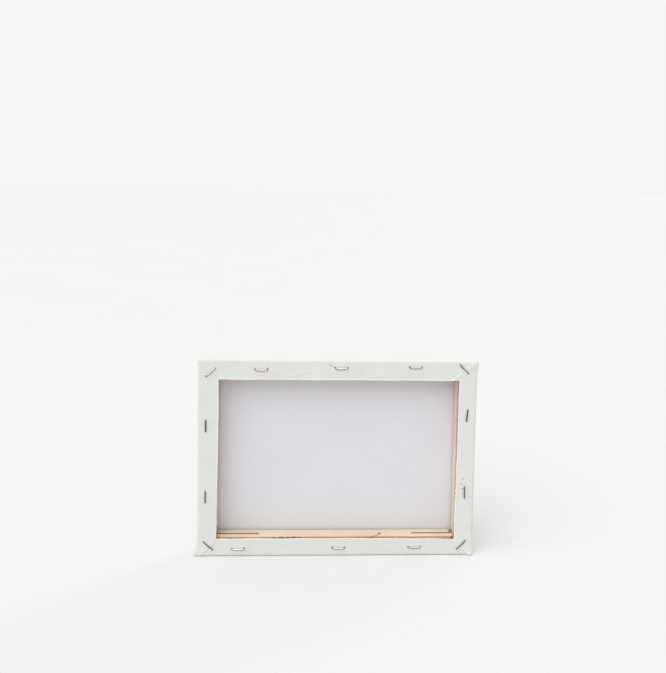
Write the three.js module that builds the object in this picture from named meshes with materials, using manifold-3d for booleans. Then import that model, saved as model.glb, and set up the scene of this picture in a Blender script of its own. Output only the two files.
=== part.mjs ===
// A small stretched canvas: primed cotton cloth over a mitred pine frame, stapled at the back.
//
// Millimetres, +Z up. The canvas stands on its bottom edge with the painted face towards -Y and
// the stapled back towards +Y. The origin is under the middle of it. Left and right are as seen
// from the painted face, so left is -X.
//
// The cloth is one shell with a window at the back. Inside it four bars meet in slotted mitres:
// the top and bottom bars carry the slots, and the left and right bars the tongues.

import * as THREE from 'three';
import { RoundedBoxGeometry } from 'three/addons/geometries/RoundedBoxGeometry.js';
import { mergeVertices } from 'three/addons/utils/BufferGeometryUtils.js';
import Module from 'manifold-3d';

// Canvas: overall width, height and depth over the cloth.
const WIDTH = 250;
const HEIGHT = 180;
const DEPTH = 18;

// Air between pieces that touch on the real thing.
const GAP = 0.3;

// Cloth: its thickness with the primer, and the radius of its folded edges inside and outside.
const CLOTH = 0.7;
const INNER_ROUND = 0.8;
const OUTER_ROUND = INNER_ROUND + CLOTH;

// How far each flap of cloth reaches in from the canvas's outer edge.
const FLAP = { left: 16.4, right: 18, top: 18, bottom: 16.2 };

// Bars: width across the back, how far the front slopes away from the cloth, the flat lip that
// carries the cloth, and the broken inner edge at the back.
const BAR_WIDTH = 16;
const BAR_BEVEL = 1.2;
const BAR_LIP = 3;
const BAR_CHAMFER = 0.7;
const BAR_THICKNESS = DEPTH - 2 * (CLOTH + GAP);

// Slotted mitre: tongue thickness, and how far the saw slot runs past the inner corner.
const TONGUE = 2;
const SLOT = TONGUE + 2 * GAP;
const SLOT_RUN = 38;

// Staples: crown length, leg length, and the flat wire's width and thickness.
const CROWN = 12;
const LEG = 6;
const WIRE_WIDTH = 0.95;
const WIRE_THICKNESS = 0.65;
const CROWN_ROUND = 0.9;

// The crowns stand proud of the back, and the canvas with its staples is centred on Y.
const CROWN_TOP = GAP + WIRE_THICKNESS;
const FRONT_Y = -(DEPTH + CROWN_TOP) / 2;
const BACK_Y = FRONT_Y + DEPTH;
const BAR_FRONT_Y = FRONT_Y + CLOTH + GAP;
const BAR_MID_Y = BAR_FRONT_Y + BAR_THICKNESS / 2;

// The bars' outer faces lie this far inside the cloth's.
const INSET = CLOTH + GAP;

// Where each staple's crown is centred, in from the canvas's edges, and its turn from level.
const STAPLES = {
  staple_top_left: { x: -69, z: HEIGHT - 6.2, turn: 0 },
  staple_top_middle: { x: -2.5, z: HEIGHT - 7.2, turn: 0 },
  staple_top_right: { x: 69, z: HEIGHT - 8.8, turn: 0 },
  staple_bottom_left: { x: -71.5, z: 8, turn: 0 },
  staple_bottom_middle: { x: -2.5, z: 7.5, turn: 1 },
  staple_bottom_right: { x: 88, z: 7, turn: -1 },
  staple_left_upper: { x: 8.3 - WIDTH / 2, z: 130, turn: 95 },
  staple_left_lower: { x: 8.6 - WIDTH / 2, z: 59, turn: 88 },
  staple_right_upper: { x: WIDTH / 2 - 7.5, z: 120, turn: 90 },
  staple_right_lower: { x: WIDTH / 2 - 7.4, z: 55, turn: 90 },
  staple_corner_top_left: { x: 11.9 - WIDTH / 2, z: HEIGHT - 7.6, turn: 46 },
  staple_corner_top_right: { x: WIDTH / 2 - 11.3, z: HEIGHT - 11.8, turn: -41 },
  staple_corner_bottom_left: { x: 10.5 - WIDTH / 2, z: 9.8, turn: -45 },
  staple_corner_bottom_right: { x: WIDTH / 2 - 10.2, z: 9.8, turn: 42 },
};

const CLOTH_MATERIAL = { color: '#eef0ea', roughness: 0.85, metalness: 0 };
const PINE_MATERIAL = { color: '#e6c79c', roughness: 0.65, metalness: 0 };
const WIRE_MATERIAL = { color: '#b4b5b4', roughness: 0.35, metalness: 1 };

const wasm = await Module();
wasm.setup();

// Solids and their geometries

function toSolid(geometry) {
  geometry.deleteAttribute('normal');
  geometry.deleteAttribute('uv');
  const merged = mergeVertices(geometry, 1e-4);
  const vertProperties = new Float32Array(merged.getAttribute('position').array);
  const triVerts = new Uint32Array(merged.getIndex().array);
  return new wasm.Manifold(new wasm.Mesh({ numProp: 3, vertProperties, triVerts }));
}

function toGeometry(solid) {
  const mesh = solid.getMesh();
  const geometry = new THREE.BufferGeometry();
  geometry.setAttribute('position', new THREE.BufferAttribute(mesh.vertProperties, mesh.numProp));
  geometry.setIndex(new THREE.BufferAttribute(mesh.triVerts, 1));
  return geometry;
}

// A box from its lowest and highest corners.
function block(low, high) {
  const size = high.map((value, axis) => value - low[axis]);
  const geometry = new THREE.BoxGeometry(...size);
  geometry.translate(low[0] + size[0] / 2, low[1] + size[1] / 2, low[2] + size[2] / 2);
  return toSolid(geometry);
}

function roundedBlock(low, high, radius) {
  const size = high.map((value, axis) => value - low[axis]);
  const geometry = new RoundedBoxGeometry(...size, 3, radius);
  geometry.translate(low[0] + size[0] / 2, low[1] + size[1] / 2, low[2] + size[2] / 2);
  return toSolid(geometry);
}

// Staples

// The U of wire in its own plane: crown along X at the top, legs down Y with chisel points.
function staple() {
  const outer = CROWN / 2;
  const inner = outer - WIRE_THICKNESS;
  const innerRound = CROWN_ROUND - WIRE_THICKNESS;
  const outline = new THREE.Shape();
  outline.moveTo(-outer, -LEG + WIRE_THICKNESS);
  outline.lineTo(-inner, -LEG);
  outline.lineTo(-inner, -WIRE_THICKNESS - innerRound);
  outline.absarc(-inner + innerRound, -WIRE_THICKNESS - innerRound, innerRound, Math.PI, Math.PI / 2, true);
  outline.lineTo(inner - innerRound, -WIRE_THICKNESS);
  outline.absarc(inner - innerRound, -WIRE_THICKNESS - innerRound, innerRound, Math.PI / 2, 0, true);
  outline.lineTo(inner, -LEG);
  outline.lineTo(outer, -LEG + WIRE_THICKNESS);
  outline.lineTo(outer, -CROWN_ROUND);
  outline.absarc(outer - CROWN_ROUND, -CROWN_ROUND, CROWN_ROUND, 0, Math.PI / 2, false);
  outline.lineTo(-outer + CROWN_ROUND, 0);
  outline.absarc(-outer + CROWN_ROUND, -CROWN_ROUND, CROWN_ROUND, Math.PI / 2, Math.PI, false);
  const geometry = new THREE.ExtrudeGeometry(outline, {
    depth: WIRE_WIDTH,
    bevelEnabled: false,
    curveSegments: 4,
  });
  geometry.translate(0, 0, -WIRE_WIDTH / 2);
  return toSolid(geometry);
}

// The two holes that a staple's legs make, a gap wider than the wire all round.
function legHoles(place) {
  const middle = (CROWN - WIRE_THICKNESS) / 2;
  const halfThick = WIRE_THICKNESS / 2 + GAP;
  const halfWide = WIRE_WIDTH / 2 + GAP;
  const depth = LEG + GAP;
  const left = block([-middle - halfThick, -depth, -halfWide], [-middle + halfThick, 1, halfWide]);
  const right = block([middle - halfThick, -depth, -halfWide], [middle + halfThick, 1, halfWide]);
  return seat(left.add(right), place);
}

// Moves a shape from a staple's own plane to its place on the back.
function seat(solid, place) {
  return solid.rotate([0, -place.turn, 0]).translate([place.x, BACK_Y + CROWN_TOP, place.z]);
}

const holes = Object.values(STAPLES).map(legHoles);

function withLegHoles(solid) {
  return holes.reduce((cut, hole) => cut.subtract(hole), solid);
}

// Bars

// A bar before its ends are cut, lying along X with its outer face down and its front at -Y.
function barBlank(length) {
  const front = BAR_FRONT_Y;
  const back = BAR_FRONT_Y + BAR_THICKNESS;
  const r = INNER_ROUND;
  const section = new THREE.Shape();
  section.moveTo(r, front);
  section.lineTo(BAR_LIP, front);
  section.lineTo(BAR_WIDTH, front + BAR_BEVEL);
  section.lineTo(BAR_WIDTH, back - BAR_CHAMFER);
  section.lineTo(BAR_WIDTH - BAR_CHAMFER, back);
  section.lineTo(r, back);
  section.absarc(r, back - r, r, Math.PI / 2, Math.PI, false);
  section.lineTo(0, front + r);
  section.absarc(r, front + r, r, Math.PI, Math.PI * 1.5, false);
  const geometry = new THREE.ExtrudeGeometry(section, {
    depth: length,
    bevelEnabled: false,
    curveSegments: 4,
  });
  // The section's own X becomes +Z and the extrusion runs along X.
  geometry.translate(0, 0, -length / 2);
  geometry.rotateY(-Math.PI / 2);
  return toSolid(geometry);
}

// What lies between the two mitres of a bar: a trapezium seen from the back.
function betweenMitres(length) {
  const half = length / 2 - GAP / Math.SQRT2;
  const outline = new THREE.Shape();
  outline.moveTo(-half, 0);
  outline.lineTo(half, 0);
  outline.lineTo(half - BAR_WIDTH, BAR_WIDTH);
  outline.lineTo(-half + BAR_WIDTH, BAR_WIDTH);
  const geometry = new THREE.ExtrudeGeometry(outline, { depth: 2 * DEPTH, bevelEnabled: false });
  geometry.translate(0, 0, -DEPTH);
  geometry.rotateX(Math.PI / 2);
  return toSolid(geometry);
}

function slottedBar(length) {
  const end = length / 2 - BAR_WIDTH - SLOT_RUN;
  const low = BAR_MID_Y - SLOT / 2;
  const high = BAR_MID_Y + SLOT / 2;
  const slots = block([end, low, -1], [length, high, BAR_WIDTH + 1])
    .add(block([-length, low, -1], [-end, high, BAR_WIDTH + 1]));
  return barBlank(length).intersect(betweenMitres(length)).subtract(slots);
}

function tonguedBar(length) {
  const blank = barBlank(length);
  const middle = block(
    [-length, BAR_MID_Y - TONGUE / 2, -1],
    [length, BAR_MID_Y + TONGUE / 2, BAR_WIDTH + 1],
  );
  return blank.intersect(betweenMitres(length)).add(blank.intersect(middle));
}

// Turns a bar about Y and moves it to its side of the frame.
function barAt(bar, turn, x, z) {
  return withLegHoles(bar.rotate([0, turn, 0]).translate([x, 0, z]));
}

function bars() {
  const across = slottedBar(WIDTH - 2 * INSET);
  const upright = tonguedBar(HEIGHT - 2 * INSET);
  const side = WIDTH / 2 - INSET;
  return {
    bar_bottom: barAt(across, 0, 0, INSET),
    bar_top: barAt(across, 180, 0, HEIGHT - INSET),
    bar_left: barAt(upright, 90, -side, HEIGHT / 2),
    bar_right: barAt(upright, -90, side, HEIGHT / 2),
  };
}

// Cloth

function canvas() {
  const half = WIDTH / 2;
  const outside = roundedBlock([-half, FRONT_Y, 0], [half, BACK_Y, HEIGHT], OUTER_ROUND);
  const inside = roundedBlock(
    [-half + CLOTH, FRONT_Y + CLOTH, CLOTH],
    [half - CLOTH, BACK_Y - CLOTH, HEIGHT - CLOTH],
    INNER_ROUND,
  );
  const backWindow = block(
    [-half + FLAP.left, 0, FLAP.bottom],
    [half - FLAP.right, DEPTH, HEIGHT - FLAP.top],
  );
  return withLegHoles(outside.subtract(inside).subtract(backWindow));
}

// Assembly

const model = new THREE.Group();

function addPiece(name, solid, finish) {
  const mesh = new THREE.Mesh(toGeometry(solid), new THREE.MeshStandardMaterial(finish));
  mesh.name = name;
  model.add(mesh);
}

addPiece('canvas', canvas(), CLOTH_MATERIAL);
for (const [name, bar] of Object.entries(bars())) {
  addPiece(name, bar, PINE_MATERIAL);
}
for (const [name, place] of Object.entries(STAPLES)) {
  addPiece(name, seat(staple(), place), WIRE_MATERIAL);
}

export default model;
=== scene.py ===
"""A small stretched canvas on a pale floor, seen from behind.

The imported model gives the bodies, the nodes and every size. This script dresses it: a wrapped and
folded sheet of primed cotton, planed pine bars with saw slots, bent wire staples, and the studio.
Lengths are in millimetres while a mesh is made, and in metres in Blender.
"""
import math
import random

import bmesh
import bpy
import numpy as np
from mathutils import Euler, Matrix, Vector
from mathutils.geometry import delaunay_2d_cdt


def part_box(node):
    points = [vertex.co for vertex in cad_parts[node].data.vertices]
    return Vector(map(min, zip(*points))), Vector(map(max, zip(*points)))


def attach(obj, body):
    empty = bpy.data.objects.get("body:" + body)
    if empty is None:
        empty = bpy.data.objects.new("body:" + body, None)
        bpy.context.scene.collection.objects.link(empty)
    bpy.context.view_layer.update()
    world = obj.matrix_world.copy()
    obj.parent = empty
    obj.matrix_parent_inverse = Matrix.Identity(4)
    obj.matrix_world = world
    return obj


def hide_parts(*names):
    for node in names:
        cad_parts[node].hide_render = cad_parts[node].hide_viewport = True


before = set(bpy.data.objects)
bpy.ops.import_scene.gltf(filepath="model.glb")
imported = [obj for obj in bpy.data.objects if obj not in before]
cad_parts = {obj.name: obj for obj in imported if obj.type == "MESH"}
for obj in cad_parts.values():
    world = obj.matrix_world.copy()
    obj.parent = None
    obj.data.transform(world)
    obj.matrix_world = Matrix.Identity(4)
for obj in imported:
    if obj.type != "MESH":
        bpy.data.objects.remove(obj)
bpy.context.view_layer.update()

MM = 0.001
BODY = "root"


def link(obj):
    """Puts a new object in the scene."""
    bpy.context.scene.collection.objects.link(obj)
    return obj


# ---- sizes, in millimetres

SIDES = ("bottom", "right", "top", "left")  # anticlockwise as seen from the painted face


def box_mm(node):
    """A CAD node's lowest and highest corners, in millimetres."""
    low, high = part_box(node)
    return np.array(low) / MM, np.array(high) / MM


CLOTH_LOW, CLOTH_HIGH = box_mm("canvas")
FRONT_Y, BACK_Y = CLOTH_LOW[1], CLOTH_HIGH[1]
HEIGHT = CLOTH_HIGH[2]
HALF_WIDTH = CLOTH_HIGH[0]
DEPTH = BACK_Y - FRONT_Y

CLOTH_THICK = 0.6
EDGE_ROUND = 1.9  # of the folds along the edges
CORNER_ROUND = 2.2  # of the four corners, seen from behind
FLAP = {"left": 16.4, "right": 18.5, "top": 18.0, "bottom": 16.2}  # reach in from the edge

# How finely the cloth is divided round its edge: close near corners and staples, wider between.
FINE_STEP = 0.45
COARSE_STEP = 2.2
STEP_GROWTH = 0.16
CORNER_REACH = 17.0
STAPLE_REACH = 7.2
FRONT_STEP = 4.2
FRONT_INSETS = (4.0, 2.7)
ARC_STEPS = 5
SIDE_STEPS = 7
FLAP_STEPS = 26
CUT_BAND = 0.7  # the frayed width along the cut

# ---- camera, at the photograph's angle

CAMERA_AT = (0.0380, 0.6615, 0.3357)
CAMERA_TURN = (86.06, -1.03, 177.39)  # degrees about X, Y and Z
CAMERA_LENS = 39.84
CAMERA_SHIFT_Y = -0.1493


def make_camera():
    """The camera behind the canvas, a little above it."""
    data = bpy.data.cameras.new("camera")
    data.lens = CAMERA_LENS
    data.shift_y = CAMERA_SHIFT_Y
    data.clip_start = 0.01
    camera = link(bpy.data.objects.new("camera", data))
    camera.location = CAMERA_AT
    camera.rotation_euler = Euler([math.radians(a) for a in CAMERA_TURN])
    bpy.context.scene.camera = camera


# ---- node helpers


class Nodes:
    """The node tree of a new material or world, with short ways to add nodes and to wire them."""

    def __init__(self, name, library="materials"):
        self.owner = getattr(bpy.data, library).new(name)
        self.owner.use_nodes = True
        self.tree = self.owner.node_tree
        self.coords = self.add("TexCoord").outputs
        self.place = self.coords["Object"]

    def add(self, kind, inputs=None, **settings):
        """A node of that kind. Each input is a value, or another node's output to link."""
        node = self.tree.nodes.new("ShaderNode" + kind)
        for key, value in settings.items():
            setattr(node, key, value)
        for key, value in (inputs or {}).items():
            self.feed(node.inputs[key], value)
        return node

    def feed(self, socket, value):
        if isinstance(value, bpy.types.NodeSocket):
            self.tree.links.new(value, socket)
        else:
            socket.default_value = value

    def math(self, operation, a, b=0.0, c=0.0):
        return self.add("Math", {0: a, 1: b, 2: c}, operation=operation).outputs[0]

    def plus(self, a, b):
        return self.math("ADD", a, b)

    def times(self, a, b):
        return self.math("MULTIPLY", a, b)

    def noise(self, vector, scale, detail=3.0, roughness=0.55):
        inputs = {"Vector": vector, "Scale": scale, "Detail": detail, "Roughness": roughness}
        return self.add("TexNoise", inputs).outputs["Fac"]

    def stretched(self, vector, scale):
        """The vector with each axis multiplied."""
        return self.add("VectorMath", {0: vector, 1: scale}, operation="MULTIPLY").outputs[0]

    def ranged(self, value, low, high, to_low, to_high):
        """The value moved from one range to another, and kept inside it."""
        inputs = {0: value, 1: low, 2: high, 3: to_low, 4: to_high}
        return self.add("MapRange", inputs).outputs[0]

    def ramp(self, value, *stops):
        """A colour ramp with (position, colour) stops."""
        node = self.add("ValToRGB", {"Fac": value})
        elements = node.color_ramp.elements
        while len(elements) < len(stops):
            elements.new(0.5)
        for element, (position, colour) in zip(elements, stops):
            element.position = position
            element.color = (*colour, 1.0)
        return node.outputs["Color"]

    def mix(self, factor, base, over):
        """The base with a plain colour mixed over it."""
        inputs = {0: factor, 6: base, 7: (*over, 1.0)}
        return self.add("Mix", inputs, data_type="RGBA").outputs[2]

    def bump(self, height, distance_mm, strength=1.0):
        inputs = {"Height": height, "Distance": distance_mm * MM, "Strength": strength}
        return self.add("Bump", inputs).outputs[0]

    def finish(self, colour, roughness, normal, **values):
        """Wires the shader. Values are socket names with _ for each space."""
        sockets = self.tree.nodes["Principled BSDF"].inputs
        values.update(Base_Color=colour, Roughness=roughness)
        if normal is not None:
            values["Normal"] = normal
        for name, value in values.items():
            self.feed(sockets[name.replace("_", " ")], value)
        return self.owner


# ---- materials

THREAD_PITCH = 0.62  # millimetres from one thread to the next
SPARE_HOLES = ((-114.6, 71.7), (-113.0, 66.7), (-114.3, 62.4))  # x, z on the back
HOLE_SIZES = (0.6, 3.0, 0.6)  # half sizes, deep enough to mark the cloth through
SCRATCH = ((3.2, 173.0), (9.0, 176.0), -0.2, 0.35)  # both ends, depth and half width
SHADOW_BELOW, SHADOW_SIZES = 0.9, (6.4, 3.0, 0.6)  # the painted shadow under each level crown: how far below the crown, and its half sizes


def plain_weave(nodes, wander):
    """The height of a plain weave over the flat cloth, from 0 to 1, with uneven threads."""
    flat = nodes.add("UVMap", uv_map="flat").outputs["UV"]
    sway = nodes.ranged(nodes.noise(flat, 220.0, 2.0), 0.3, 0.7, -wander, wander)
    parts = nodes.add("SeparateXYZ", {"Vector": flat}).outputs
    turn = math.pi / (THREAD_PITCH * MM)
    turns = [nodes.math("MULTIPLY_ADD", parts[axis], turn, sway) for axis in ("X", "Y")]
    warp, weft = (nodes.math("SINE", turned) for turned in turns)
    share = nodes.ranged(nodes.times(warp, weft), -0.35, 0.35, 0.0, 1.0)
    crown = nodes.math("ABSOLUTE", warp)
    trough = nodes.math("ABSOLUTE", weft)
    lifted = nodes.times(nodes.math("SUBTRACT", crown, trough), share)
    return flat, nodes.plus(trough, lifted)


def cotton(nodes, wander, weave_share, fill, fill_share, slub_share):
    """The flat places, the fill's noise and the height of a filled weave with its slubs."""
    flat, weave = plain_weave(nodes, wander)
    filled = nodes.noise(flat, *fill)
    height = nodes.math("MULTIPLY_ADD", weave, weave_share, nodes.times(filled, fill_share))
    return flat, filled, nodes.math("MULTIPLY_ADD", slubs(nodes, flat), slub_share, height)


def slubs(nodes, flat):
    """Thicker and thinner threads: streaks along the warp and along the weft."""
    warp = nodes.noise(nodes.stretched(flat, (1500.0, 45.0, 1.0)), 1.0, 2.0)
    weft = nodes.noise(nodes.stretched(flat, (45.0, 1500.0, 1.0)), 1.0, 2.0)
    return nodes.times(nodes.plus(warp, weft), 0.5)


def blot(nodes, middle, half_sizes, turn=(0.0, 0.0, 0.0)):
    """Less than 1 inside an oblong mark: its middle and half sizes in millimetres, and its turn."""
    inputs = {
        "Vector": nodes.place,
        "Location": [v * MM for v in middle],
        "Rotation": turn,
        "Scale": [v * MM for v in half_sizes],
    }
    inside = nodes.add("Mapping", inputs, vector_type="TEXTURE").outputs[0]
    return nodes.add("VectorMath", {0: inside}, operation="LENGTH").outputs["Value"]


def marked(nodes, blots, ragged, inside, outside, strength):
    """That strength inside the blots, fading to 0 between two values along a ragged outline."""
    least = blots[0]
    for value in blots[1:]:
        least = nodes.math("MINIMUM", least, value)
    return nodes.ranged(nodes.plus(least, ragged), inside, outside, strength, 0.0)


def painted_crown_shadows(nodes, ragged):
    """More than 0 just below the level crowns: a painted shadow under each wire, grey on the primer."""
    crown_shadows = []
    for staple in STAPLES:
        if "corner" in staple.node or staple.tone != "bright":
            continue
        x, z = staple.middle + staple.down * (staple.crown + SHADOW_BELOW)
        turn = (0.0, -math.atan2(staple.way[1], staple.way[0]), 0.0)
        crown_shadows.append(blot(nodes, (x, BACK_Y, z), SHADOW_SIZES, turn))
    return marked(nodes, crown_shadows, ragged, 0.9, 1.35, 0.4)


def marks_and_painted_shade(nodes):
    """Nearly 1 inside the pulled staples' holes, painted dark as the shade within them, less along a
    scratch and in the painted shadows below the level crowns, else 0.
    """
    ragged = nodes.times(nodes.noise(nodes.place, 1500.0, 2.0), 0.7)
    holes = [blot(nodes, (x, BACK_Y, z), HOLE_SIZES) for x, z in SPARE_HOLES]
    holes = marked(nodes, holes, ragged, 1.1, 1.5, 0.95)
    (x0, z0), (x1, z1) = SCRATCH[:2]
    sizes = (math.hypot(x1 - x0, z1 - z0) / 2 + 0.4, 3.0, 0.6)
    turn = (0.0, -math.atan2(z1 - z0, x1 - x0), 0.0)
    scratch = blot(nodes, ((x0 + x1) / 2, BACK_Y, (z0 + z1) / 2), sizes, turn)
    scratch = marked(nodes, [scratch], ragged, 0.7, 1.5, 0.45)
    marks = nodes.math("MAXIMUM", holes, scratch)
    return nodes.math("MAXIMUM", marks, painted_crown_shadows(nodes, ragged))


def primed_cotton():
    """The white primed side: a weave half filled by brushed primer."""
    nodes = Nodes("primed_cotton")
    flat, primer, height = cotton(nodes, 0.5, 0.5, (900.0, 4.0, 0.6), 0.35, 0.6)
    clouds = nodes.noise(flat, 28.0, 3.0)
    base = nodes.ramp(clouds, (0.3, (0.719, 0.729, 0.693)), (0.7, (0.739, 0.748, 0.713)))
    # painted shade: the weave's valleys are darkened
    valley_shade = nodes.ranged(height, 0.35, 0.95, 0.10, 0.0)
    colour = nodes.mix(valley_shade, base, (0.60, 0.61, 0.57))
    # painted shade in the holes and under the level crowns; the scratch is a real mark
    colour = nodes.mix(marks_and_painted_shade(nodes), colour, (0.22, 0.20, 0.18))
    roughness = nodes.ranged(primer, 0.3, 0.7, 0.72, 0.9)
    normal = nodes.bump(height, 0.09, 0.8)
    return nodes.finish(colour, roughness, normal, Specular_IOR_Level=0.35)


def raw_cotton():
    """The inside of the cloth, unprimed: cooler, hairier and more openly woven."""
    nodes = Nodes("raw_cotton")
    flat, _, height = cotton(nodes, 0.7, 0.65, (1600.0, 3.0, 0.7), 0.3, 0.8)
    clouds = nodes.noise(flat, 20.0, 3.0)
    base = nodes.ramp(clouds, (0.3, (0.735, 0.73, 0.765)), (0.7, (0.755, 0.75, 0.785)))
    # painted shade: the weave's valleys are darkened
    valley_shade = nodes.ranged(height, 0.4, 1.2, 0.16, 0.0)
    colour = nodes.mix(valley_shade, base, (0.55, 0.54, 0.56))
    normal = nodes.bump(height, 0.11, 0.8)
    return nodes.finish(colour, 0.92, normal, Specular_IOR_Level=0.2, Sheen_Weight=0.15)


def cut_edge_with_highlight():
    """Where the cloth was trimmed: primer and cream thread ends, painted whiter than the cloth as a
    highlight along the edge.
    """
    nodes = Nodes("cut_edge_with_highlight")
    flat = nodes.add("UVMap", uv_map="flat").outputs["UV"]
    ends = nodes.noise(flat, 1900.0, 3.0, 0.7)
    # painted highlight: whiter than the primed cloth
    colour = nodes.ramp(ends, (0.35, (0.84, 0.82, 0.76)), (0.6, (0.94, 0.94, 0.91)))
    return nodes.finish(colour, 0.9, nodes.bump(ends, 0.15, 0.8), Specular_IOR_Level=0.2)


def thread():
    """Loose ends of cotton."""
    nodes = Nodes("thread")
    twist = nodes.noise(nodes.place, 3000.0, 2.0)
    colour = nodes.ramp(twist, (0.3, (0.74, 0.73, 0.69)), (0.7, (0.86, 0.86, 0.83)))
    return nodes.finish(colour, 0.9, None, Sheen_Weight=0.2)


SPLIT_BAR = "bar_bottom"
BAR_INNER_Z = box_mm(SPLIT_BAR)[1][2]
SPLIT = ((-31.8, 7.4), (-36.4, 3.6), (-42.4, -1.6))  # x, y along the split on its inner face
SPLIT_DEPTH, SPLIT_WIDTH = 1.8, 0.8
SPLIT_KNOT = (SPLIT[-1][0] + 0.9, SPLIT[-1][1] + 0.6)
CHIPS = (  # on the same bar: x, y, reach along it and across it, depth
    (107.4, 7.8, 2.1, 2.0, 2.0),
    (-107.0, 7.6, 1.5, 1.8, 1.8),
    (-106.8, -4.6, 1.4, 1.3, 1.5),
    (56.0, 7.9, 1.3, 1.0, 0.7),
    (49.3, 7.8, 2.3, 1.2, 0.8),
    (43.6, 7.9, 1.6, 1.0, 0.8),
    (38.4, 7.7, 2.4, 1.3, 0.9),
    (33.2, 7.9, 1.2, 0.9, 0.7),
)
TORN_REACH = 1.7  # times a chip's own size, as far as its torn fibres and the painted shade in it are dark
ARRIS_DIRT_AND_SHADE = {0: (5.2, 7.3), 2: (3.0, 6.6)}  # by grain axis: millimetres back from the middle, where the back corner is darkened by dirt and by painted shade under the flap's edge
EARLY_WOOD_AND_PAINTED_LIGHT = {  # the early wood's two colours, on the level bars (0) and the upright ones (2); the upright ones are paler as painted light, for the lamp on their inner faces
    0: ((0.35, (0.735, 0.60, 0.435)), (0.65, (0.80, 0.685, 0.53))),
    2: ((0.35, (0.81, 0.66, 0.49)), (0.65, (0.87, 0.745, 0.58))),
}
SEAM_DIRT = 0.9  # millimetres from a mitre, where its glue and dust show


def pine(name, grain_axis):
    """Planed pine whose grain runs along X (0) or Z (2), darkened along its back corner by dirt and
    painted shade, and dirty along its mitres.
    """
    nodes = Nodes(name)
    slow = [1.0, 1.0, 1.0]
    slow[grain_axis] = 0.045
    grain = nodes.stretched(nodes.place, slow)
    bend = nodes.noise(grain, 90.0, 2.0)
    parts = nodes.add("SeparateXYZ", {"Vector": grain})
    cross = parts.outputs["Z" if grain_axis == 0 else "X"]
    depth = nodes.math("MULTIPLY_ADD", cross, 0.45, parts.outputs["Y"])
    rings = nodes.math("MULTIPLY_ADD", depth, 2200.0, nodes.times(bend, 9.0))
    rings = nodes.math("FRACT", nodes.math("DIVIDE", rings, 2 * math.pi))
    stops = ((0.0, 0.0), (0.62, 0.25), (0.86, 1.0), (1.0, 0.0))
    late = nodes.ramp(rings, *((at, (dark,) * 3) for at, dark in stops))
    fibre = nodes.noise(grain, 2600.0, 4.0, 0.7)
    patches = nodes.noise(nodes.place, 34.0, 2.0)
    early = nodes.ramp(patches, *EARLY_WOOD_AND_PAINTED_LIGHT[grain_axis])
    colour = nodes.mix(nodes.times(late, 0.34), early, (0.55, 0.38, 0.23))
    colour = nodes.mix(nodes.ranged(fibre, 0.42, 0.72, 0.0, 0.26), colour, (0.50, 0.35, 0.22))
    dirt_and_shade = bar_dirt_and_shade(nodes, grain, ARRIS_DIRT_AND_SHADE[grain_axis])
    # dirt and painted shade along the back corner, and dirt at the mitres
    colour = nodes.mix(dirt_and_shade, colour, (0.27, 0.17, 0.10))
    # the split and chips: torn fibres, darkened further as painted shade in the hollows
    colour = nodes.mix(torn_and_shaded_wood(nodes), colour, (0.13, 0.08, 0.04))
    height = nodes.math("MULTIPLY_ADD", fibre, 0.6, nodes.times(late, 0.4))
    roughness = nodes.ranged(fibre, 0.3, 0.7, 0.55, 0.75)
    normal = nodes.bump(height, 0.08, 0.5)
    return nodes.finish(colour, roughness, normal, Specular_IOR_Level=0.35)


def bar_dirt_and_shade(nodes, grain, arris):
    """How dark a bar is painted, from 0 to 1: its handled back corner, with dirt and painted shade
    under the flap's edge, and dark mitre seams.
    """
    parts = nodes.add("SeparateXYZ", {"Vector": nodes.place}).outputs
    patchy = nodes.noise(grain, 420.0, 3.0, 0.6)
    edge = nodes.math("MULTIPLY_ADD", patchy, 1.6 * MM, parts["Y"])
    low, high = (at * MM + 0.8 * MM for at in arris)
    corner = nodes.ranged(edge, low, high, 0.0, 1.0)
    corner = nodes.times(corner, nodes.ranged(patchy, 0.3, 0.62, 0.35, 0.9))
    middle = HEIGHT / 2 * MM
    from_middle = nodes.math("ABSOLUTE", nodes.math("SUBTRACT", parts["Z"], middle))
    inset = nodes.math("SUBTRACT", middle, from_middle)
    aside = nodes.math("SUBTRACT", HALF_WIDTH * MM, nodes.math("ABSOLUTE", parts["X"]))
    gap = nodes.math("ABSOLUTE", nodes.math("SUBTRACT", aside, inset))
    seam = nodes.ranged(gap, 0.25 * MM, SEAM_DIRT * MM, 0.9, 0.0)
    seam = nodes.times(seam, nodes.ranged(nodes.noise(nodes.place, 300.0), 0.35, 0.6, 0.35, 1.0))
    return nodes.math("MAXIMUM", corner, seam)


def torn_and_shaded_wood(nodes):
    """Nearly 1 in the bottom bar's split and chips, else 0."""
    # painted shade: torn fibres darkened further than real torn wood, for the shade in the split and
    # chips
    blots = []
    for (x0, y0), (x1, y1) in zip(SPLIT, SPLIT[1:]):
        sizes = (math.hypot(x1 - x0, y1 - y0) / 2 + 0.5, SPLIT_WIDTH, 4.0)
        turn = (0.0, 0.0, math.atan2(y1 - y0, x1 - x0))
        blots.append(blot(nodes, ((x0 + x1) / 2, (y0 + y1) / 2, BAR_INNER_Z), sizes, turn))
    blots.append(blot(nodes, (*SPLIT_KNOT, BAR_INNER_Z), (1.7, 1.4, 4.0)))
    for x, y, along, across, _ in CHIPS:
        sizes = (TORN_REACH * along, TORN_REACH * across, 3.0)
        blots.append(blot(nodes, (x, y, BAR_INNER_Z), sizes))
    return marked(nodes, blots, nodes.noise(nodes.place, 900.0, 3.0), 1.1, 1.6, 0.95)


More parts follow.
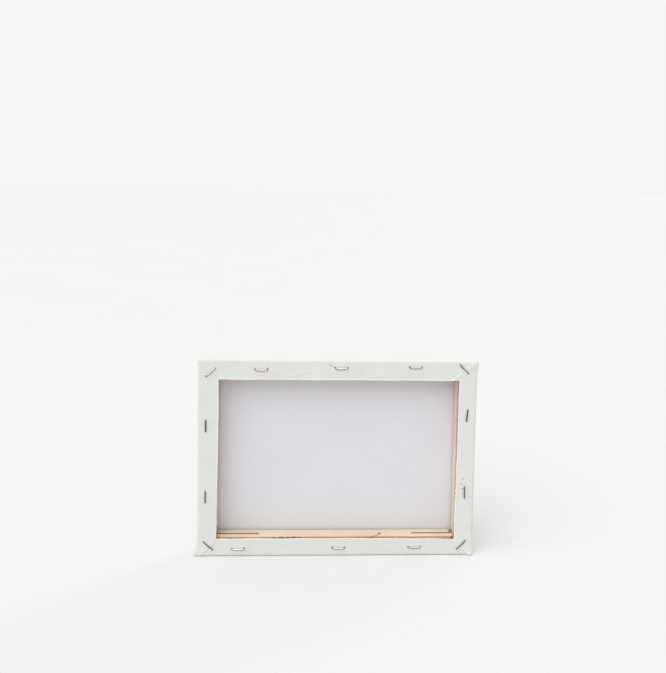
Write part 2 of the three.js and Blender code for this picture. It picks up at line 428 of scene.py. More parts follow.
def sawn_and_shaded_pine():
    """Rough pine inside saw cuts and on sawn ends: darker end grain, and painted shade deep in the
    cuts.
    """
    nodes = Nodes("pine_sawn_and_shaded")
    rough = nodes.noise(nodes.place, 1500.0, 3.0, 0.7)
    colour = nodes.ramp(rough, (0.3, (0.25, 0.155, 0.09)), (0.7, (0.42, 0.29, 0.18)))
    return nodes.finish(colour, 0.85, nodes.bump(rough, 0.2, 0.7), Specular_IOR_Level=0.2)


def staple_wire(name, tone):
    """Galvanised wire with fine drawing marks and dull patches, painted in a bright or a dark tone for
    the light that it reflects.
    """
    nodes = Nodes(name)
    dull = nodes.noise(nodes.place, 1400.0, 3.0)
    marks = nodes.noise(nodes.place, 6000.0, 2.0)
    colour = nodes.ramp(dull, (0.3, (0.8 * tone,) * 3), (0.7, (1.15 * tone,) * 3))
    roughness = nodes.ranged(dull, 0.3, 0.7, 0.42, 0.26)
    return nodes.finish(colour, roughness, nodes.bump(marks, 0.02, 0.4), Metallic=1.0)


# ---- mesh helpers


def mesh_object(name, vertices_mm, faces):
    """A new object from points in millimetres and faces, linked to the scene."""
    mesh = bpy.data.meshes.new(name)
    mesh.from_pydata([tuple(v) for v in np.asarray(vertices_mm) * MM], [], faces)
    mesh.validate()
    return link(bpy.data.objects.new(name, mesh))


def apply_modifiers(obj):
    """Replaces the object's mesh by the one that its modifiers make."""
    graph = bpy.context.evaluated_depsgraph_get()
    made = bpy.data.meshes.new_from_object(obj.evaluated_get(graph))
    obj.modifiers.clear()
    obj.data = made


def smooth_below(obj, degrees):
    """Smooth shading, with edges sharper than that angle left sharp."""
    obj.data.polygons.foreach_set("use_smooth", [True] * len(obj.data.polygons))
    obj.data.set_sharp_from_angle(angle=math.radians(degrees))


def face_outwards(obj, joined=0.0):
    """Turns every face outwards, after joining vertices that are closer than that."""
    shape = bmesh.new()
    shape.from_mesh(obj.data)
    if joined:
        bmesh.ops.remove_doubles(shape, verts=shape.verts, dist=joined)
    bmesh.ops.recalc_face_normals(shape, faces=shape.faces)
    shape.to_mesh(obj.data)
    shape.free()


def smoothstep(low, high, value):
    t = np.clip((value - low) / (high - low), 0.0, 1.0)
    return t * t * (3.0 - 2.0 * t)


def hill(t):
    """1 at 0, falling smoothly to nearly 0 at 2 on both sides."""
    return np.exp(-(t**2))


def distance(points, place):
    return np.linalg.norm(points - np.array(place), axis=1)


def heading(start, end):
    """The direction from one point to another, and how far it is."""
    offset = np.array(end, float) - start
    length = np.linalg.norm(offset)
    return offset / length, length


def ripple(points, wavelength, seed, waves=9):
    """Smooth unevenness of about -1 to 1 at 2-D points, from a few crossed waves."""
    chance = random.Random(seed)
    total = np.zeros(len(points))
    for _ in range(waves):
        angle = chance.uniform(0, 2 * math.pi)
        number = 2 * math.pi / (wavelength * chance.uniform(0.7, 1.6))
        phase = chance.uniform(0, 2 * math.pi)
        way = points[:, 0] * math.cos(angle) + points[:, 1] * math.sin(angle)
        total += np.sin(way * number + phase)
    return total / math.sqrt(waves * 1.5)


def skin(rings, around):
    """Faces over that many rings of vertices, one after another, with a cap at each end."""
    faces = []
    for i in range(rings - 1):
        for k in range(around):
            a, b = i * around + k, i * around + (k + 1) % around
            faces.append((a, b, b + around, a + around))
    last = (rings - 1) * around
    return [*faces, tuple(reversed(range(around))), tuple(range(last, last + around))]


def tube(path, radii, sides):
    """Vertices and faces of a closed tube along 3-D points, with a radius at each."""
    path = np.asarray(path, float)
    ways = np.gradient(path, axis=0)
    ways /= np.linalg.norm(ways, axis=1)[:, None]
    vertices = []
    for point, way, radius in zip(path, ways, radii):
        side = np.cross(way, (0.0, 1.0, 0.31))
        side /= np.linalg.norm(side)
        other = np.cross(way, side)
        for k in range(sides):
            turn = 2 * math.pi * k / sides
            vertices.append(point + radius * (math.cos(turn) * side + math.sin(turn) * other))
    return vertices, skin(len(path), sides)


# ---- staples: where they are

# How each staple was driven: how far its crown hangs below its holes, how proud it stands and how
# much its crown bows, in millimetres; how far its wire is rolled to face up, in degrees; its tone, a
# painted light or shade for how much light its wire reflects.
DRIVEN = {
    "staple_top_left": (1.1, 0.72, 0.1, 38, "bright"),
    "staple_top_middle": (1.3, 0.72, 0.15, 36, "bright"),
    "staple_top_right": (1.3, 0.74, 0.1, 40, "bright"),
    "staple_bottom_left": (0.8, 0.7, 0.1, 36, "bright"),
    "staple_bottom_middle": (0.9, 0.7, 0.1, 38, "bright"),
    "staple_bottom_right": (0.8, 0.7, 0.15, 36, "bright"),
    "staple_left_upper": (0.1, 0.95, 0.15, 24, "black"),
    "staple_left_lower": (0.15, 0.9, 0.15, 20, "dark"),
    "staple_right_upper": (-0.15, 0.9, 0.1, 22, "black"),
    "staple_right_lower": (-0.2, 0.9, 0.1, 16, "dark"),
    "staple_corner_top_left": (0.2, 0.8, 0.1, -6, "grey"),
    "staple_corner_top_right": (-0.2, 0.9, 0.05, 30, "bright"),
    "staple_corner_bottom_left": (0.1, 0.75, 0.05, -12, "grey"),
    "staple_corner_bottom_right": (-0.2, 0.75, 0.05, -12, "grey"),
}
WIRE_PAINTED_SHADES = {  # copies of one wire painted lighter or darker for the light it reflects: each tone's brightness, and the tones of such a staple's lower edge, painted shade, and of its bends, painted shade or highlight
    "bright": (0.62, "dark", "dark"),
    "grey": (0.25, "grey", "grey"),
    "dark": (0.16, "dark", "bright"),
    "black": (0.07, "black", "bright"),
}
LEG_SPAN = 5.67  # from a crown's middle to each leg
CROWN_SHARE, LEGS_SHARE = 0.4, 0.6  # of the hang: the crown is below the middle, the legs above


class Staple:
    """A CAD staple's place on the back: its crown's middle, the way it points and the way down."""

    def __init__(self, node):
        self.node = node
        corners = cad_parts[node].data.vertices
        flat = np.array([v.co for v in corners], float)[:, [0, 2]] / MM
        self.middle = (flat.min(0) + flat.max(0)) / 2
        way = np.linalg.svd(flat - self.middle, full_matrices=False)[2][0]
        self.way = way if way @ (1.0, 0.2) >= 0 else -way
        self.down = np.array([self.way[1], -self.way[0]])
        hang, self.proud, self.bow, self.roll, self.tone = DRIVEN[node]
        self.crown, self.legs = CROWN_SHARE * hang, -LEGS_SHARE * hang

    def local(self, points):
        """Distances along the crown and below it of 2-D points on the back."""
        offset = points - self.middle
        return offset @ self.way, offset @ self.down


STAPLES = [Staple(node) for node in DRIVEN]

# ---- cloth: its plain wrapped shape

NOT_CUT = 99.0  # stands for far from the cut edge


def side_of_staple(staple):
    """The side that a staple is on, and how far along that side from its start, or None at a corner."""
    x, z = staple.middle
    if "corner" in staple.node:
        return None
    if min(z, HEIGHT - z) < min(HALF_WIDTH - abs(x), FLAP["top"]):
        return ("bottom", x + HALF_WIDTH) if z < HEIGHT / 2 else ("top", HALF_WIDTH - x)
    return ("right", z) if x > 0 else ("left", HEIGHT - z)


def divisions(side):
    """Where a side is divided, as fractions of it: finely near its corners and its staples."""
    length = 2 * HALF_WIDTH if side in ("bottom", "top") else HEIGHT
    places = [(0.0, CORNER_REACH), (length, CORNER_REACH)]
    for place in map(side_of_staple, STAPLES):
        if place and place[0] == side:
            places.append((place[1], STAPLE_REACH))
    marks = [0.0]
    while marks[-1] < length:
        gap = min(abs(marks[-1] - place) - reach for place, reach in places)
        marks.append(marks[-1] + min(COARSE_STEP, FINE_STEP + STEP_GROWTH * max(gap, 0.0)))
    return np.array(marks) / marks[-1]


FRACTIONS = {side: divisions(side) for side in SIDES}


def ring(inset, corner_radius):
    """Points, outward directions and sides round the canvas, inset from its edges by side."""
    left, right = -HALF_WIDTH + inset["left"], HALF_WIDTH - inset["right"]
    low, high = inset["bottom"], HEIGHT - inset["top"]
    corners = np.array([(left, low), (right, low), (right, high), (left, high)])
    points, outs = [], []
    for index, side in enumerate(SIDES):
        start, end = corners[index], corners[(index + 1) % 4]
        along, length = heading(start, end)
        out = np.array([along[1], -along[0]])
        for passed in FRACTIONS[side][:-1] * length:
            to_end = length - passed
            turn = 0.0
            centre = start + along * passed - out * corner_radius
            if passed < corner_radius:
                turn = -math.pi / 4 * (1 - passed / corner_radius)
                centre = start + (along - out) * corner_radius
            elif to_end < corner_radius:
                turn = math.pi / 4 * (1 - to_end / corner_radius)
                centre = end - (along + out) * corner_radius
            direction = out * math.cos(turn) + along * math.sin(turn)
            points.append(centre + direction * corner_radius)
            outs.append(direction)
    return np.array(points), np.array(outs)


def rows_of_cloth():
    """Each row from front to cut: insets, y, how far it faces out and back, share of the flap."""
    r = EDGE_ROUND
    rows = [(inset, FRONT_Y, 0.0, -1.0) for inset in (*FRONT_INSETS, r)]
    turns = np.linspace(0, math.pi / 2, ARC_STEPS + 1)[1:]
    for turn in turns:
        inset, y = r - r * math.sin(turn), FRONT_Y + r - r * math.cos(turn)
        rows.append((inset, y, math.sin(turn), -math.cos(turn)))
    for y in np.linspace(FRONT_Y + r, BACK_Y - r, SIDE_STEPS + 1)[1:]:
        rows.append((0.0, y, 1.0, 0.0))
    for turn in turns:
        inset, y = r - r * math.cos(turn), BACK_Y - r + r * math.sin(turn)
        rows.append((inset, y, math.cos(turn), math.sin(turn)))
    plain = [({side: inset for side in SIDES}, *rest, 0.0) for inset, *rest in rows]
    last = 1 - CUT_BAND / FLAP["bottom"]
    for share in [*np.linspace(0, last, FLAP_STEPS)[1:], 1.0]:
        insets = {side: r + share * (FLAP[side] - r) for side in SIDES}
        plain.append((insets, BACK_Y, 0.0, 1.0, share))
    return plain


class Sheet:
    """The wrapped cloth: faces, where they lie on the flat cloth, and for each vertex its point,
    normal, outward direction and distance to the cut."""

    def __init__(self):
        self.vertices, self.faces, self.flat = [], [], []
        self.side_of = [side for side in SIDES for _ in FRACTIONS[side][:-1]]
        self.wrapped_rows()
        self.front_panel()
        columns = [np.array(column, float) for column in zip(*self.vertices)]
        self.points, self.normals, self.outs, self.to_cut = columns

    def wrapped_rows(self):
        """The edge of the front, the sides and the flaps, row after row, to the cut edge."""
        count = len(self.side_of)
        travel = {side: -FRONT_INSETS[0] for side in SIDES}
        before = None
        for insets, y, faces_out, faces_back, share in rows_of_cloth():
            on_front = y < FRONT_Y + 0.001
            rounded = 0.0 if share or on_front else max(CORNER_ROUND - insets["left"], 0.0)
            points, outs = ring(insets, rounded)
            first = len(self.vertices)
            for point, out, side in zip(points, outs, self.side_of):
                to_cut = (1 - share) * FLAP[side] if share else NOT_CUT
                normal = (out[0] * faces_out, faces_back, out[1] * faces_out)
                self.vertices.append(((point[0], y, point[1]), normal, out, to_cut))
            if before:
                old_first, old_insets, old_y = before
                step = {s: math.hypot(insets[s] - old_insets[s], y - old_y) for s in SIDES}
                for k, side in enumerate(self.side_of):
                    following = (k + 1) % count
                    corners = (old_first + k, first + k, first + following, old_first + following)
                    near, far = travel[side], travel[side] + step[side]
                    reach = (near, far, far, near)
                    self.faces.append(corners)
                    self.flat.append([self.flat_place(c, side, w) for c, w in zip(corners, reach)])
                travel = {s: travel[s] + step[s] for s in SIDES}
            before = first, insets, y
        self.cut_row = [before[0] + k for k in range(count)]
        self.band_start = len(self.faces) - count

    def flat_place(self, index, side, reach):
        """Where a point of that side lies on the flat cloth, in millimetres."""
        x, _, z = self.vertices[index][0]
        return {
            "bottom": (x, -reach),
            "right": (HALF_WIDTH + reach, z),
            "top": (x, HEIGHT + reach),
            "left": (-HALF_WIDTH - reach, z),
        }[side]

    def front_panel(self):
        """The painted face inside the first row, filled with even triangles."""
        count = len(self.side_of)
        self.band_end = len(self.faces)
        edge = [vertex[0][::2] for vertex in self.vertices[:count]]
        inset = FRONT_INSETS[0] + 0.6 * FRONT_STEP
        inner = []
        across = np.arange(-HALF_WIDTH + inset, HALF_WIDTH - inset, FRONT_STEP)
        up = np.arange(inset, HEIGHT - inset, FRONT_STEP * math.sqrt(3) / 2)
        for row, z in enumerate(up):
            inner += [(x + (row % 2) * FRONT_STEP / 2, z) for x in across]
        inner = [p for p in inner if p[0] < HALF_WIDTH - inset + 1.0]
        loop = list(range(count))
        places, _, triangles, sources, _, _ = delaunay_2d_cdt(
            [Vector(p) for p in edge + inner], [], [loop], 1, 1e-5
        )
        index = []
        for (x, z), (source, *_) in zip(places, sources):
            if source >= count:
                source = len(self.vertices)
                self.vertices.append(((x, FRONT_Y, z), (0, -1, 0), (0, 0), NOT_CUT))
            index.append(source)
        for triangle in triangles:
            corners = tuple(index[k] for k in triangle)
            self.faces.append(corners)
            self.flat.append([self.vertices[k][0][::2] for k in corners])


# ---- cloth: folds, puckers and slack

# Each folded corner: its signs, whether the upright flap lies on top, how thick its fold is, how
# wide the fold's edge rolls over, and how far that edge strays from the diagonal at each share of
# the way in. A stray below 0 widens the upper layer.
STRAY_AT = (0.0, 0.2, 0.4, 0.6, 0.8, 0.95, 1.1)
FOLDS = {
    "bottom_left": (-1, -1, True, 0.42, 0.35, (0.0, -1.6, -3.2, -3.8, -4.0, -4.0, -4.0)),
    "bottom_right": (1, -1, True, 0.5, 0.3, (-2.6, -2.0, -1.9, -1.6, -1.4, 0.4, 1.6)),
    "top_right": (1, 1, False, 0.2, 0.4, (0.0, 0.3, 0.7, 0.5, 0.6, 0.6, 0.6)),
    "top_left": (-1, 1, True, 0.95, 0.45, (-0.2, -1.3, -3.5, -3.5, -3.4, -4.2, -4.6)),
}
SLACK, SLACK_WAVE = 0.13, 24.0
RUMPLE, RUMPLE_WAVE = 0.045, 7.0
CURL, CURL_REACH = 0.12, 1.1
TRIM, TRIM_WAVE, TRIM_REACH = 0.16, 34.0, 4.0
DRUM, DRUM_WAVE = 0.05, 60.0
SIDE_FOLD, SIDE_FOLD_REACH = 0.35, 6.0

# Where the window is cut askew: a corner of it, how far that corner moves, and the reach.
LEANS = (((-108.6, 16.2), (0.9, -0.9), 85.0), ((106.5, 16.2), (1.3, 0.0), 110.0))

# Drag lines on the flaps: both ends, height and half width.
DRAGS = (
    ((52, 163.5), (18, 171.0), 0.16, 1.1),
    ((-28, 164.0), (-58, 168.0), 0.10, 1.3),
    ((-84, 165.0), (-101, 176.0), 0.12, 1.2),
    ((-34, 15.0), (-62, 10.5), 0.14, 1.1),
    ((30, 14.5), (58, 9.0), 0.10, 1.4),
    ((123.2, 14.0), (115.8, 23.5), 0.16, 0.55),
    ((-124.0, 177.0), (-113.5, 170.5), 0.3, 0.6),
    ((-112.0, 173.0), (-103.5, 167.0), 0.2, 0.9),
    ((-110, 84.0), (-121, 92.0), 0.12, 1.0),
    ((111, 98.0), (119, 86.0), 0.08, 1.2),
    ((-112, 150.0), (-118, 138.0), 0.09, 1.1),
)

# The dog ear of cloth at one corner.
EAR_AT, EAR_HEIGHT, EAR_WIDTH = (-122.2, 0.4), 2.4, 1.7

# Where the tucked cloth stands out sideways at the back: which side, its height, how far, its reach.
FLARES = ((1, 0.0, 2.4, 11.5), (-1, HEIGHT - 4.5, 0.7, 7.0))


def corner_fold(back, sign_x, sign_z, upright_on_top, thick, roll, strays):
    """The step of one mitred fold, and the plump cloth under it."""
    outer = np.array([sign_x * HALF_WIDTH, HEIGHT if sign_z > 0 else 0.0])
    reach = FLAP["right" if sign_x > 0 else "left"], FLAP["top" if sign_z > 0 else "bottom"]
    inner = outer - np.array([sign_x, sign_z]) * reach
    way, length = heading(outer, inner)
    across = np.array([-way[1], way[0]])
    if (across[1] * sign_z > 0) == upright_on_top:
        across = -across
    offset = back - outer
    along = offset @ way
    wander = 0.25 * np.sin(along * 0.9 + sign_x) * smoothstep(0.0, 6.0, along)
    over = offset @ across - np.interp(along / length, STRAY_AT, strays) - wander
    near = hill((along - length / 2) / length)
    plumper = 1 + 0.3 * np.sin(along * 0.9 + 2 * sign_z)
    upper = thick * plumper * np.exp(-np.maximum(over, 0) / 4.5)
    groove = 0.16 * np.exp(np.minimum(over + roll, 0) / 0.6)
    lower = 0.2 * thick * np.exp(np.minimum(over, 0) / 5.0) - groove
    step = lower + (upper - lower) * smoothstep(-roll, roll, over)
    plump = 0.35 * hill(distance(back, outer) / 9.0)
    return step * near * hill(over / 14.0) + plump


def flare(points):
    """How far the tucked cloth stands out sideways near some corners, at the back."""
    total = np.zeros(len(points))
    at_back = smoothstep(FRONT_Y + 2, BACK_Y - 2, points[:, 1])
    for side, height, amount, reach in FLARES:
        near = hill((points[:, 2] - height) / reach) * at_back
        outermost = smoothstep(HALF_WIDTH - 2.2, HALF_WIDTH - 0.3, side * points[:, 0])
        total += side * amount * near * outermost
    return total


def side_fold(points, outs):
    """The narrow layer tucked round each corner onto the upright sides, wider towards the back."""
    reach = 0.8 + SIDE_FOLD_REACH * (points[:, 1] - FRONT_Y) / DEPTH
    to_corner = np.minimum(points[:, 2], HEIGHT - points[:, 2])
    inside = reach - to_corner
    layer = SIDE_FOLD * smoothstep(-0.15, 0.15, inside) - 0.1 * np.exp(-np.abs(inside) / 0.5)
    return layer * smoothstep(0.5, 0.95, np.abs(outs[:, 0]))


PRESSED = {  # how a staple moves the cloth: how much, how far off its wire, and the half width
    "trough": (-0.15, 0.0, 0.8),
    "crease": (-0.28, 0.75, 0.4),
    "swell": (0.13, 2.1, 0.9),
    "pit": (-0.5, 0.0, 0.55),
    "rim": (0.12, 1.3, 0.6),
}


def pressed(part, away):
    height, middle, width = PRESSED[part]
    return height * hill((away - middle) / width)


def pucker(back, staple):
    """How one staple presses the cloth: under and beside its crown, and round its two legs."""
    along, below = staple.local(back)
    within = smoothstep(LEG_SPAN + 1.4, LEG_SPAN - 0.2, np.abs(along))
    off = below - staple.crown
    under = pressed("trough", off) * within + pressed("crease", off) * within
    beside = pressed("swell", np.abs(off)) * within
    to_leg = np.hypot(np.abs(along) - LEG_SPAN, below - staple.legs)
    return under + beside + (pressed("pit", to_leg) + pressed("rim", to_leg))


def drag_line(back, start, end, height, width):
    """A faint ridge between two points, fading at both ends."""
    way, length = heading(start, end)
    along = (back - start) @ way / length
    across = (back - start) @ np.array([-way[1], way[0]])
    ends = smoothstep(0, 0.3, along) * smoothstep(1, 0.6, along)
    return height * ends * (hill(across / width) - 0.5 * hill((across - 2 * width) / width))


def flap_relief(back, to_cut):
    """Everything that lifts or sinks the cloth on the back."""
    lift = SLACK * ripple(back, SLACK_WAVE, 11) + RUMPLE * ripple(back, RUMPLE_WAVE, 12)
    curl = 0.7 + 0.3 * ripple(back, TRIM_WAVE, 13)
    lift += CURL * curl * np.exp(-to_cut / CURL_REACH)
    for fold in FOLDS.values():
        lift += corner_fold(back, *fold)
    for staple in STAPLES:
        lift += pucker(back, staple)
    for drag in (*DRAGS, SCRATCH):
        lift += drag_line(back, *drag)
    for hole in SPARE_HOLES:
        lift -= 0.45 * hill(distance(back, hole) / 0.5)
    return lift


def shape_cloth(sheet):
    """Moves the plain wrapped points to the folded, puckered and trimmed shape."""
    points, normals, outs = sheet.points, sheet.normals, sheet.outs
    back = points[:, [0, 2]]
    faces_back = np.clip(normals[:, 1], 0, 1)
    faces_front = np.clip(-normals[:, 1], 0, 1)
    faces_out = np.hypot(normals[:, 0], normals[:, 2])
    lift = faces_back * flap_relief(back, sheet.to_cut)
    unrolled = np.stack([points[:, 0] + points[:, 2], points[:, 1]], 1)
    lift += faces_out * (side_fold(points, outs) + 0.06 * ripple(unrolled, 15.0, 21))
    lift += faces_front * DRUM * ripple(back, DRUM_WAVE, 31)
    lift += EAR_HEIGHT * hill(distance(back, EAR_AT) / EAR_WIDTH) * faces_back
    moved = points + normals * lift[:, None]
    trimmed = TRIM * ripple(back, TRIM_WAVE, 41) + 0.12 * ripple(back, 5.0, 42)
    trimmed = trimmed * np.exp(-sheet.to_cut / TRIM_REACH)
    moved[:, [0, 2]] += outs * trimmed[:, None]
    for corner, lean, reach in LEANS:
        share = np.clip(1 - distance(back, corner) / reach, 0, 1)
        share = share * np.exp(-sheet.to_cut / TRIM_REACH)
        moved[:, [0, 2]] += share[:, None] * np.array(lean)
    moved[:, 0] += flare(points)
    moved[:, 2] = np.clip(moved[:, 2], 0.0, None)
    return moved


def make_cloth(materials):
    """The cloth as one closed sheet: primed outside, raw inside, and trimmed at the window."""
    sheet = Sheet()
    moved = shape_cloth(sheet)
    cloth = mesh_object("cloth", moved, sheet.faces)
    mesh = cloth.data
    flat = mesh.uv_layers.new(name="flat")
    places = np.array([p for face in sheet.flat for p in face], np.float32) * MM
    flat.data.foreach_set("uv", places.ravel())
    for material in materials:
        mesh.materials.append(material)
    for face in range(sheet.band_start, sheet.band_end):
        mesh.polygons[face].material_index = 2
    thicken = cloth.modifiers.new("thickness", "SOLIDIFY")
    thicken.thickness = CLOTH_THICK * MM
    thicken.offset = -1.0
    thicken.material_offset = 1
    thicken.material_offset_rim = 2
    apply_modifiers(cloth)
    smooth_below(cloth, 50)
    cut = [(moved[k], sheet.outs[k]) for k in sheet.cut_row]
    return cloth, cut


# ---- loose threads on the cut edge

THREADS = 130
THREAD_RADIUS = 0.07


def make_threads(cut, material):
    """Short ends of cotton that stand out of the cut edge into the window."""
    chance = random.Random(5)
    vertices, faces = [], []
    for _ in range(THREADS):
        point, out = cut[chance.randrange(len(cut))]
        inward = Vector((-out[0], 0, -out[1]))
        lean = Vector((out[1], 0, -out[0])) * chance.uniform(-1.2, 1.2)
        way = (inward + lean + Vector((0, chance.uniform(-0.5, 0.25), 0))).normalized()
        bend = Vector([chance.uniform(-0.5, 0.5) for _ in range(3)])
        length = 0.35 + 1.1 * chance.random() ** 3 * 1.6
        start = Vector(point) + Vector((0, -chance.uniform(0.1, CLOTH_THICK - 0.1), 0)) - way * 0.25
        shares = [k / 5 for k in range(6)]
        path = [start + way * length * t + bend * length * t * t * 0.7 for t in shares]
        radii = [THREAD_RADIUS * (1 - 0.55 * t) for t in shares]
        new_vertices, new_faces = tube(path, radii, 5)
        base = len(vertices)
        vertices += new_vertices
        faces += [tuple(base + k for k in face) for face in new_faces]
    threads = mesh_object("loose_threads", vertices, faces)
    threads.data.materials.append(material)
    smooth_below(threads, 60)
    return threads


# ---- bars

SHY = 0.05  # how far a planed face stays inside the CAD bar's
ARRIS = 0.55
SLIVER = 0.002  # vertices left closer than this by a cut are joined
BAR_STEP, SPLIT_STEP, SPLIT_REACH = 1.1, 0.3, 3.2
BARS = {  # the axis that each bar runs along, which way the opening is, and a seed
    "bar_bottom": (0, 1, 61),
    "bar_top": (0, -1, 62),
    "bar_left": (2, 1, 63),
    "bar_right": (2, -1, 64),
}


def merged_copy_mm(node):
    """A CAD node's mesh in millimetres as a new object, its vertices joined."""
    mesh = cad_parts[node].data.copy()
    shape = bmesh.new()
    shape.from_mesh(mesh)
    bmesh.ops.scale(shape, vec=(1 / MM,) * 3, verts=shape.verts)
    bmesh.ops.remove_doubles(shape, verts=shape.verts, dist=0.001)
    shape.to_mesh(mesh)
    shape.free()
    return link(bpy.data.objects.new(node + "_shape", mesh))


def bar_section(width, front, back):
    """(distance in from the outer face, y) round a bar: fine on the inner face, with a soft arris."""
    inner, rear = width - SHY, back - SHY
    section = [(-1.0, front - 1.0), (inner, front - 1.0)]
    section += [(inner, y) for y in np.linspace(front, rear - ARRIS, 40)]
    for turn in np.linspace(0, math.pi / 2, 5)[1:]:
        section.append((inner - ARRIS + ARRIS * math.cos(turn), rear - ARRIS + ARRIS * math.sin(turn)))
    section += [(p, rear) for p in np.linspace(inner - ARRIS, -1.0, 7)[1:]]
    return np.array(section)


def planed(points, back, seed):
    """How deep the plane, the grain and knocks have cut at each (along the bar, y)."""
    stretched = np.stack([points[:, 0] / 22.0, points[:, 1] * 1.6], axis=1)
    grain = 0.018 * (1 + ripple(stretched, 3.0, seed))
    torn = np.clip(ripple(points, 5.5, seed + 7) - 0.75, 0, 1)
    worn = 0.55 * torn * np.exp(-np.abs(back - points[:, 1]) / 0.8)
    dents = 0.25 * np.clip(ripple(points, 16.0, seed + 9) - 1.25, 0, 1)
    return grain + worn + dents


def flaw_depth(points):
    """The long crack that runs from the back corner into the inner face, and the chips."""
    deepest = np.zeros(len(points))
    for index, (start, end) in enumerate(zip(SPLIT, SPLIT[1:])):
        way, length = heading(start, end)
        along = np.clip((points - start) @ way, 0, length)
        away = np.linalg.norm(points - start - along[:, None] * way, axis=1)
        share = (index + along / length) / (len(SPLIT) - 1)
        width = SPLIT_WIDTH * (0.7 + 0.6 * share)
        deepest = np.maximum(deepest, SPLIT_DEPTH * (0.5 + 0.5 * share) * hill(away / width))
    for x, y, along, across, depth in CHIPS:
        away = np.hypot((points[:, 0] - x) / along, (points[:, 1] - y) / across)
        deepest = np.maximum(deepest, depth * hill(away))
    return deepest


def finer_near(stations, places):
    """The stations, with close ones for a few millimetres round each place."""
    close = np.arange(stations[0], stations[-1], SPLIT_STEP)
    near = np.min(np.abs(close[:, None] - np.array(places)), axis=1) < SPLIT_REACH
    far = np.min(np.abs(stations[:, None] - close[near]), axis=1) > SPLIT_STEP
    return np.sort(np.concatenate([stations[far], close[near]]))


def make_bar(node, material, sawn):
    """A planed bar: fine faces cut to the CAD bar's mitres, slots or tongues, and staple holes."""
    axis, inward, seed = BARS[node]
    low, high = box_mm(node)
    across = 2 - axis
    width = (high - low)[across]
    section = bar_section(width, low[1], high[1])
    stations = np.arange(low[axis] - 1.0, high[axis] + 1.0 + BAR_STEP, BAR_STEP)
    if node == SPLIT_BAR:
        stations = finer_near(stations, [x for x, *_ in (*SPLIT, *CHIPS)])
    reach, y = np.tile(section, (len(stations), 1)).T
    along = np.repeat(stations, len(section))
    points = np.stack([along, y], axis=1)
    cuts = planed(points, high[1], seed)
    if node == SPLIT_BAR:
        cuts += flaw_depth(points)
    outer = (low if inward > 0 else high)[across]
    vertices = np.zeros((len(points), 3))
    vertices[:, axis] = along
    vertices[:, 1] = y
    vertices[:, across] = outer + inward * (reach - np.where(reach > width / 2, cuts, 0.0))
    bar = mesh_object(node + "_planed", vertices / MM, skin(len(stations), len(section)))
    bar.data.materials.append(material)
    face_outwards(bar)
    shape = merged_copy_mm(node)
    shape.data.materials.clear()
    shape.data.materials.append(sawn)
    cut = bar.modifiers.new("cut", "BOOLEAN")
    cut.material_mode = "TRANSFER"
    cut.operation = "INTERSECT"
    cut.solver = "EXACT"
    cut.object = shape
    apply_modifiers(bar)
    face_outwards(bar, SLIVER)
    bpy.data.objects.remove(shape)
    bar.data.transform(Matrix.Scale(MM, 4))
    smooth_below(bar, 32)
    return bar


# ---- staples: their wire

WIRE_WIDE, WIRE_THICK, WIRE_SOFT = 1.05, 0.6, 0.2
LEG_LENGTH = 4.2
BEND, BEND_LOW = 0.9, -0.25  # how far a bend reaches along, and where it starts over the cloth
SHADED_SIDE = (9, 10, 11, 0, 1)  # the section's places along the wire's lower edge, which is painted darker as shade
BEND_STEPS = 6  # of the path at each end, where the wire turns in; painted in its own tone as a highlight or shade


def wire_section():
    """Across the wire and through it: a rounded oblong."""
    points = []
    for sign_w, sign_t, start in ((1, 1, 0), (-1, 1, 90), (-1, -1, 180), (1, -1, 270)):
        for turn in (0, 45, 90):
            angle = math.radians(start + turn)
            w = sign_w * (WIRE_WIDE / 2 - WIRE_SOFT) + WIRE_SOFT * math.cos(angle)
            t = sign_t * (WIRE_THICK / 2 - WIRE_SOFT) + WIRE_SOFT * math.sin(angle)
            points.append((w, t))
    return points


def wire_path(staple):
    """(along, height over the cloth, below) down the middle of the wire, from tip to tip."""
    top = staple.proud - WIRE_THICK / 2
    crown, legs = staple.crown, staple.legs
    half = [(LEG_SPAN, height, legs) for height in (-LEG_LENGTH, -1.5, BEND_LOW)]
    for turn in np.linspace(0, math.pi / 2, 7)[1:]:
        share = math.sin(turn)
        along = LEG_SPAN - BEND * (1 - math.cos(turn))
        height = BEND_LOW + (top - BEND_LOW) * share
        half.append((along, height, legs + (crown - legs) * share**1.5))
    for along in np.linspace(LEG_SPAN - BEND, 0, 7)[1:]:
        share = along / (LEG_SPAN - BEND)
        half.append((along, top + staple.bow * (1 - share**2), crown + 0.1 * (1 - share**2)))
    return half + [(-a, h, b) for a, h, b in reversed(half[:-1])]


def make_staple(staple, face, edge, bends):
    """One bent wire staple, in place, with painted tones for its face, its lower edge and its bends."""
    section = wire_section()
    path = np.array(wire_path(staple))
    ways = np.gradient(path, axis=0)
    turn = -math.radians(staple.roll)
    vertices = []
    for (along, height, below), way in zip(path, ways):
        way = way / np.linalg.norm(way)
        down = np.array([0.0, 0.0, 1.0]) - way * way[2]
        down /= np.linalg.norm(down)
        off = np.cross(down, way)
        level = 1 - abs(along) / LEG_SPAN
        lean = turn * min(1.0, 4 * level)
        wide = down * math.cos(lean) + off * math.sin(lean)
        thick = off * math.cos(lean) - down * math.sin(lean)
        for w, t in section:
            a, h, b = np.array([along, height, below]) + w * wide + t * thick
            place = staple.middle + staple.way * a + staple.down * b
            vertices.append((place[0], BACK_Y + h, place[1]))
    count, steps = len(section), len(path) - 1
    name = staple.node.replace("staple", "wire_staple")
    wire = mesh_object(name, vertices, skin(len(path), count))
    face_outwards(wire)
    for material in (face, edge, bends):
        wire.data.materials.append(material)
    for index in range(steps * count):
        bent = not BEND_STEPS <= index // count < steps - BEND_STEPS
        wire.data.polygons[index].material_index = 2 if bent else int(index % count in SHADED_SIDE)
    smooth_below(wire, 50)
    return wire


# ---- studio

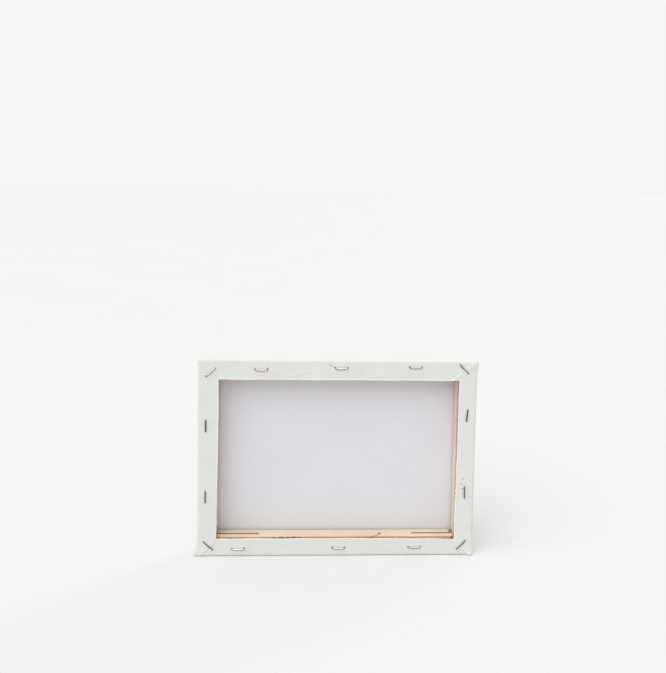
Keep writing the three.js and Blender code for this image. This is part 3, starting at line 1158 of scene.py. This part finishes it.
FLOOR_REACH = 60000.0


def make_floor():
    """A wide pale floor that the canvas stands on."""
    nodes = Nodes("floor")
    tone = nodes.ramp(nodes.noise(nodes.place, 3.0), (0.3, (0.725,) * 3), (0.7, (0.735,) * 3))
    far = FLOOR_REACH
    corners = [(-far, -far, 0), (far, -far, 0), (far, far, 0), (-far, far, 0)]
    floor = mesh_object("floor", corners, [(0, 1, 2, 3)])
    floor.data.materials.append(nodes.finish(tone, 0.9, None, Specular_IOR_Level=0.1))


# Each lamp: the direction that it shines from, its power, and its width in degrees. The broad one
# is high on the upper left of the main view; the low one grazes the painted face.
LAMPS = {
    "lamp": ((0.42, 0.55, 0.88), 1.9, 64.0),
    "fill": ((-0.72, -0.62, 0.13), 1.2, 24.0),
}
ROOM_LOW, ROOM_HIGH = 0.2, 0.85  # light from the walls and from the ceiling
ROOM_SHOWN = 0.925  # as the camera sees it


def make_lamps():
    for name, (way, power, width) in LAMPS.items():
        data = bpy.data.lights.new(name, "SUN")
        data.energy = power
        data.angle = math.radians(width)
        lamp = link(bpy.data.objects.new(name, data))
        lamp.rotation_euler = Vector(way).to_track_quat("Z", "Y").to_euler()


def make_room():
    """White light from all round, strongest from above; the camera sees it as pale as the floor."""
    nodes = Nodes("room", "worlds")
    white = (1.0, 1.0, 1.0, 1.0)
    rise = nodes.add("SeparateXYZ", {0: nodes.coords["Generated"]}).outputs["Z"]
    strength = nodes.ranged(rise, 0.0, 0.7, ROOM_LOW, ROOM_HIGH)
    lit = nodes.tree.nodes["Background"]
    nodes.feed(lit.inputs["Color"], white)
    nodes.feed(lit.inputs["Strength"], strength)
    shown = nodes.add("Background", {"Color": white, "Strength": ROOM_SHOWN})
    seen = nodes.add("LightPath").outputs["Is Camera Ray"]
    choose = nodes.add("MixShader", {0: seen, 1: lit.outputs[0], 2: shown.outputs[0]})
    nodes.feed(nodes.tree.nodes["World Output"].inputs["Surface"], choose.outputs[0])
    bpy.context.scene.world = nodes.owner


def make_studio():
    """The floor, the lamps and the room, shown with plain colours."""
    bpy.context.scene.view_settings.view_transform = "Standard"
    make_floor()
    make_lamps()
    make_room()


# ---- everything in place


def hand_over(piece, slot, *nodes):
    """The piece rides on the canvas and stands for its CAD nodes, which are hidden. The slot is not
    used.
    """
    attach(piece, BODY)
    if nodes:
        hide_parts(*nodes)


def main():
    make_camera()
    make_studio()
    cloth, cut = make_cloth([primed_cotton(), raw_cotton(), cut_edge_with_highlight()])
    hand_over(cloth, "primed_cotton", "canvas")
    threads = make_threads(cut, thread())
    hand_over(threads, "primed_cotton")
    woods = {0: pine("pine_level", 0), 2: pine("pine_upright", 2)}
    sawn = sawn_and_shaded_pine()
    for node, (axis, _, _) in BARS.items():
        hand_over(make_bar(node, woods[axis], sawn), "pine", node)
    wires = {tone: staple_wire("staple_wire_" + tone, WIRE_PAINTED_SHADES[tone][0]) for tone in WIRE_PAINTED_SHADES}
    for staple in STAPLES:
        # painted tones: the wire's face, its lower edge as painted shade, its bends as painted
        # highlight or shade
        tones = (staple.tone, *WIRE_PAINTED_SHADES[staple.tone][1:])
        wire = make_staple(staple, *(wires[tone] for tone in tones))
        hand_over(wire, "staple_wire", staple.node)


main()
